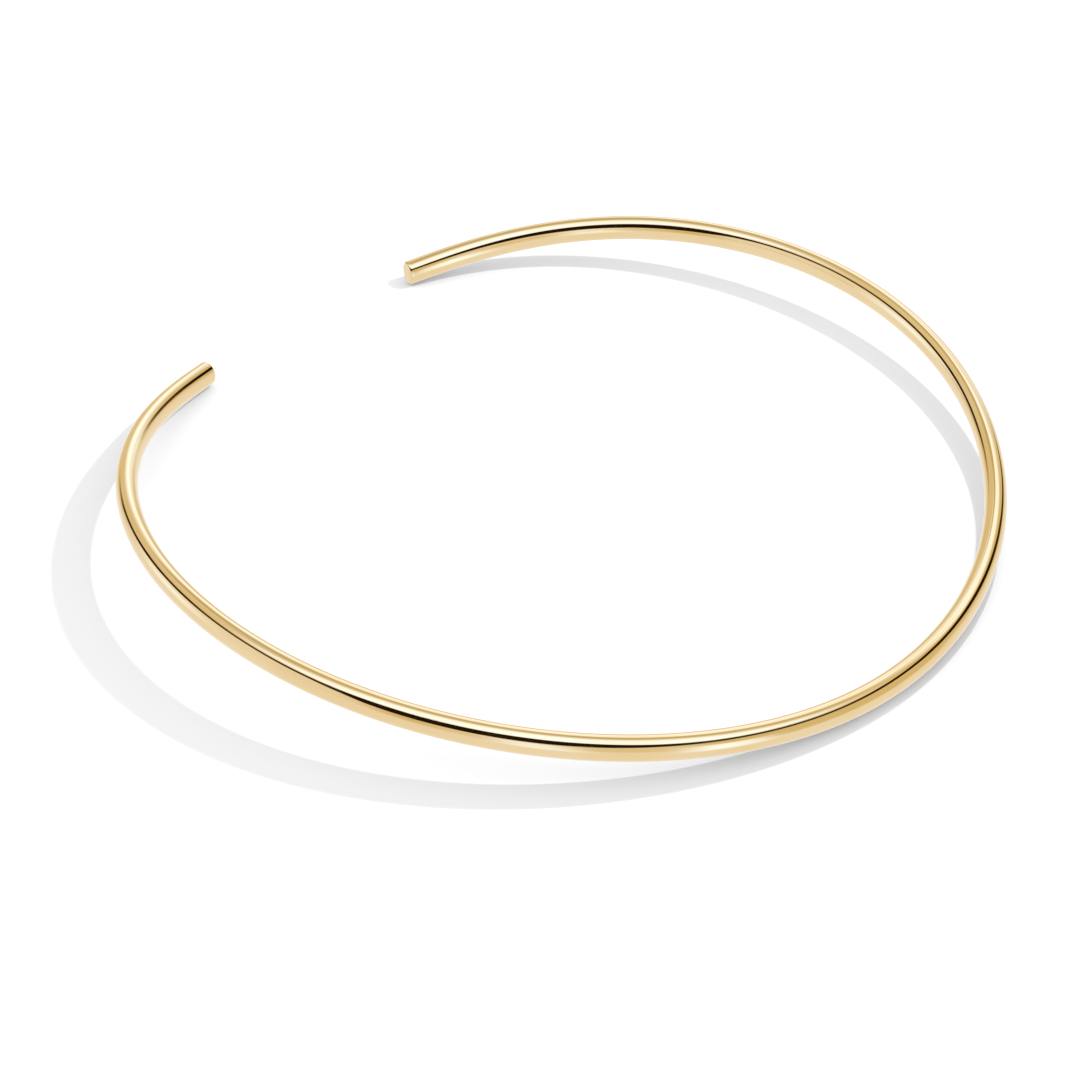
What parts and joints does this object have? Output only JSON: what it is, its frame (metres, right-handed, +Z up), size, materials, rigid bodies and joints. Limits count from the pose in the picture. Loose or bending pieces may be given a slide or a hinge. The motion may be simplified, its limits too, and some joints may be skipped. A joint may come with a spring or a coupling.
{
  "type": "collar_necklace",
  "caption": "Open rigid collar necklace: thick gold wire of oval section, bent to a ring with a gap at the back and two flat cut ends",
  "frame": {"origin": "the centre of the bounding box at its bottom: the middle of the collar in plan, on the surface it lies on", "axes": "+X is across the collar, to the wearer's left; +Y points from the middle of the front to the gap between the ends; +Z is up as it lies flat"},
  "size_m": [0.1322, 0.1272, 0.011],
  "materials": {
    "gold": "polished"
  },
  "bodies": {
    "root": {"collar_wire": "gold"}
  },
  "joints": []
}
